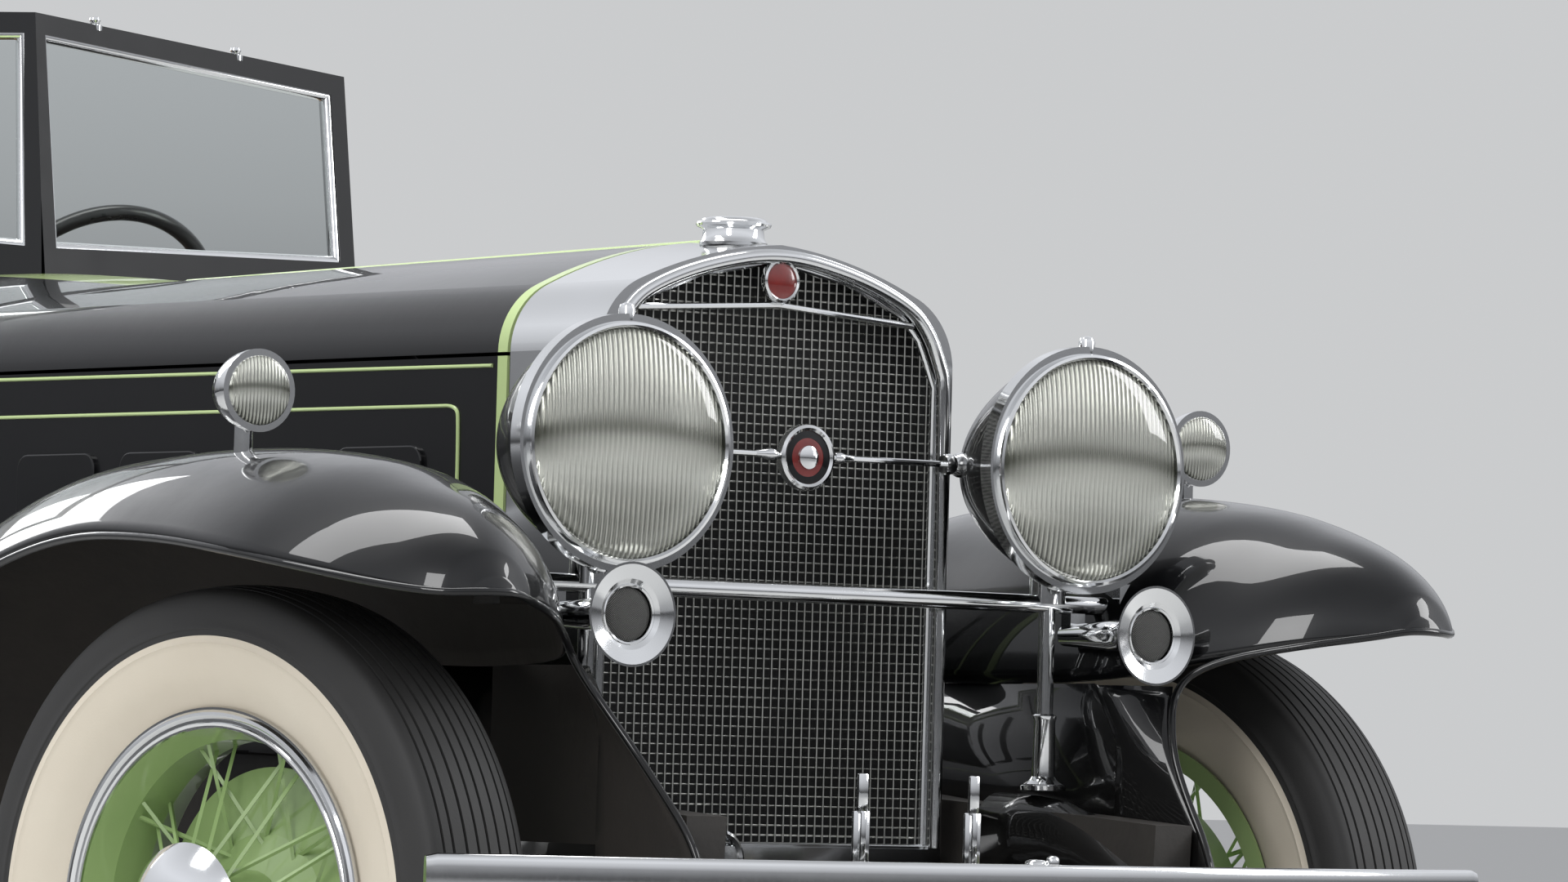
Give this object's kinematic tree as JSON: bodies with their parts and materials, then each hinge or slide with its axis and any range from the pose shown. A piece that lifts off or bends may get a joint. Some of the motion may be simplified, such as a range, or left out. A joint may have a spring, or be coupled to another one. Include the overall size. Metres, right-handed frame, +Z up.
{
  "type": "vintage phaeton touring car",
  "caption": "Open four-door touring car with a long hinged hood, wire wheels on a steered front axle, V windscreen, hinged doors and a folded top.",
  "frame": {"origin": "middle of the bounding box in X and Y, on the ground under the tyres", "axes": "+X the car's left, -Y the way it faces, +Z up"},
  "size_m": [1.8608, 5.6488, 1.7452],
  "materials": {
    "black_paint": "deep gloss black",
    "green_paint": "gloss pale green",
    "chrome": "bright plate",
    "chassis_black": "satin black",
    "cast": "painted iron",
    "rubber": "black rubber with a cream side band",
    "glass": "clear",
    "lens": "fluted clear",
    "tan_leather": "soft pleated hide",
    "top_cloth": "tan canvas",
    "wood": "polished walnut",
    "carpet": "dark carpet",
    "bakelite": "black hard rubber"
  },
  "bodies": {
    "chassis": {"axles": "chassis_black", "chassis_frame": "chassis_black", "cowl": "black_paint", "dashboard": "wood", "door_pillars": "black_paint", "engine_block": "cast", "exhaust": "chassis_black", "fender_lamps": "chrome", "floor_pan": "carpet", "folded_top": "top_cloth", "front_apron": "black_paint", "front_bumper": "chrome", "front_fenders": "black_paint", "front_seat": "tan_leather", "fuel_tank": "chassis_black", "headlamp_rims": "chrome", "headlamp_shells": "black_paint", "hood_hinge": "black_paint", "hood_side_left": "black_paint", "hood_side_right": "black_paint", "horns": "chrome", "lamp_bar": "chrome", "lamp_lenses": "lens", "leaf_springs": "chassis_black", "radiator_cap": "chrome", "radiator_core": "chassis_black", "radiator_screen": "chrome", "radiator_shell": "chrome", "rear_body": "black_paint", "rear_bumper": "chrome", "rear_fenders": "black_paint", "rear_seat": "tan_leather", "running_boards": "black_paint", "seat_frames": "carpet", "steering_column": "chassis_black", "tail_lamps": "chrome", "tyre_spare": "rubber", "wheel_spare": "green_paint", "windscreen_frame": "black_paint", "windscreen_glass": "glass"},
    "front_left_steer": {"knuckle_left": "chassis_black"},
    "front_right_steer": {"knuckle_right": "chassis_black"},
    "tie_rod": {"tie_rod": "chassis_black"},
    "steering_wheel": {"steering_wheel": "bakelite"},
    "front_left_wheel": {"wheel_front_left": "green_paint", "tyre_front_left": "rubber"},
    "front_right_wheel": {"wheel_front_right": "green_paint", "tyre_front_right": "rubber"},
    "rear_left_wheel": {"wheel_rear_left": "green_paint", "tyre_rear_left": "rubber"},
    "rear_right_wheel": {"wheel_rear_right": "green_paint", "tyre_rear_right": "rubber"},
    "door_front_left": {"door_front_left": "black_paint"},
    "door_front_right": {"door_front_right": "black_paint"},
    "door_rear_left": {"door_rear_left": "black_paint"},
    "door_rear_right": {"door_rear_right": "black_paint"},
    "hood_top_left": {"hood_top_left": "black_paint"},
    "hood_top_right": {"hood_top_right": "black_paint"}
  },
  "joints": [
    {"name": "steer_left", "type": "hinge", "parent": "chassis", "child": "front_left_steer", "pos_m": [0.59, -2.1445, 0.415], "axis": [0, 0, 1], "range_deg": [-42, 18]},
    {"name": "steer_right", "type": "hinge", "parent": "chassis", "child": "front_right_steer", "pos_m": [-0.59, -2.1445, 0.415], "axis": [0, 0, 1], "range_deg": [-42, 18]},
    {"name": "tie_rod_pivot", "type": "hinge", "parent": "front_left_steer", "child": "tie_rod", "pos_m": [0.55881, -1.99778, 0.335], "axis": [0, 0, 1], "range_deg": [-18, 42]},
    {"name": "steering_wheel_turn", "type": "hinge", "parent": "chassis", "child": "steering_wheel", "pos_m": [0.345, 0.1255, 1.29], "axis": [0, 0.866, 0.5], "range_deg": [-504, 216]},
    {"name": "front_left_roll", "type": "hinge", "parent": "front_left_steer", "child": "front_left_wheel", "pos_m": [0.7465, -2.11123, 0.415], "axis": [0.9781, 0.2079, 0], "continuous": true},
    {"name": "front_right_roll", "type": "hinge", "parent": "front_right_steer", "child": "front_right_wheel", "pos_m": [-0.7465, -2.17777, 0.415], "axis": [0.9781, 0.2079, 0], "continuous": true},
    {"name": "rear_left_roll", "type": "hinge", "parent": "chassis", "child": "rear_left_wheel", "pos_m": [0.765, 1.6145, 0.415], "axis": [1, 0, 0], "continuous": true},
    {"name": "rear_right_roll", "type": "hinge", "parent": "chassis", "child": "rear_right_wheel", "pos_m": [-0.765, 1.6145, 0.415], "axis": [1, 0, 0], "continuous": true},
    {"name": "door_front_left_hinge", "type": "hinge", "parent": "chassis", "child": "door_front_left", "pos_m": [0.7, 0.6025, 0.9], "axis": [0, 0, 1], "range_deg": [0, 65]},
    {"name": "door_front_right_hinge", "type": "hinge", "parent": "chassis", "child": "door_front_right", "pos_m": [-0.7, 0.6025, 0.9], "axis": [0, 0, -1], "range_deg": [0, 65]},
    {"name": "door_rear_left_hinge", "type": "hinge", "parent": "chassis", "child": "door_rear_left", "pos_m": [0.7, 0.6985, 0.9], "axis": [0, 0, -1], "range_deg": [0, 65]},
    {"name": "door_rear_right_hinge", "type": "hinge", "parent": "chassis", "child": "door_rear_right", "pos_m": [-0.7, 0.6985, 0.9], "axis": [0, 0, 1], "range_deg": [0, 65]},
    {"name": "hood_left_hinge", "type": "hinge", "parent": "chassis", "child": "hood_top_left", "pos_m": [0, -1.4445, 1.308], "axis": [0, -1, 0], "range_deg": [0, 50]},
    {"name": "hood_right_hinge", "type": "hinge", "parent": "chassis", "child": "hood_top_right", "pos_m": [0, -1.4445, 1.308], "axis": [0, 1, 0], "range_deg": [0, 50]}
  ],
  "couplings": [
    {"joint": "steer_right", "follows": "steer_left", "ratio": 1},
    {"joint": "tie_rod_pivot", "follows": "steer_left", "ratio": -1},
    {"joint": "steering_wheel_turn", "follows": "steer_left", "ratio": 12}
  ]
}
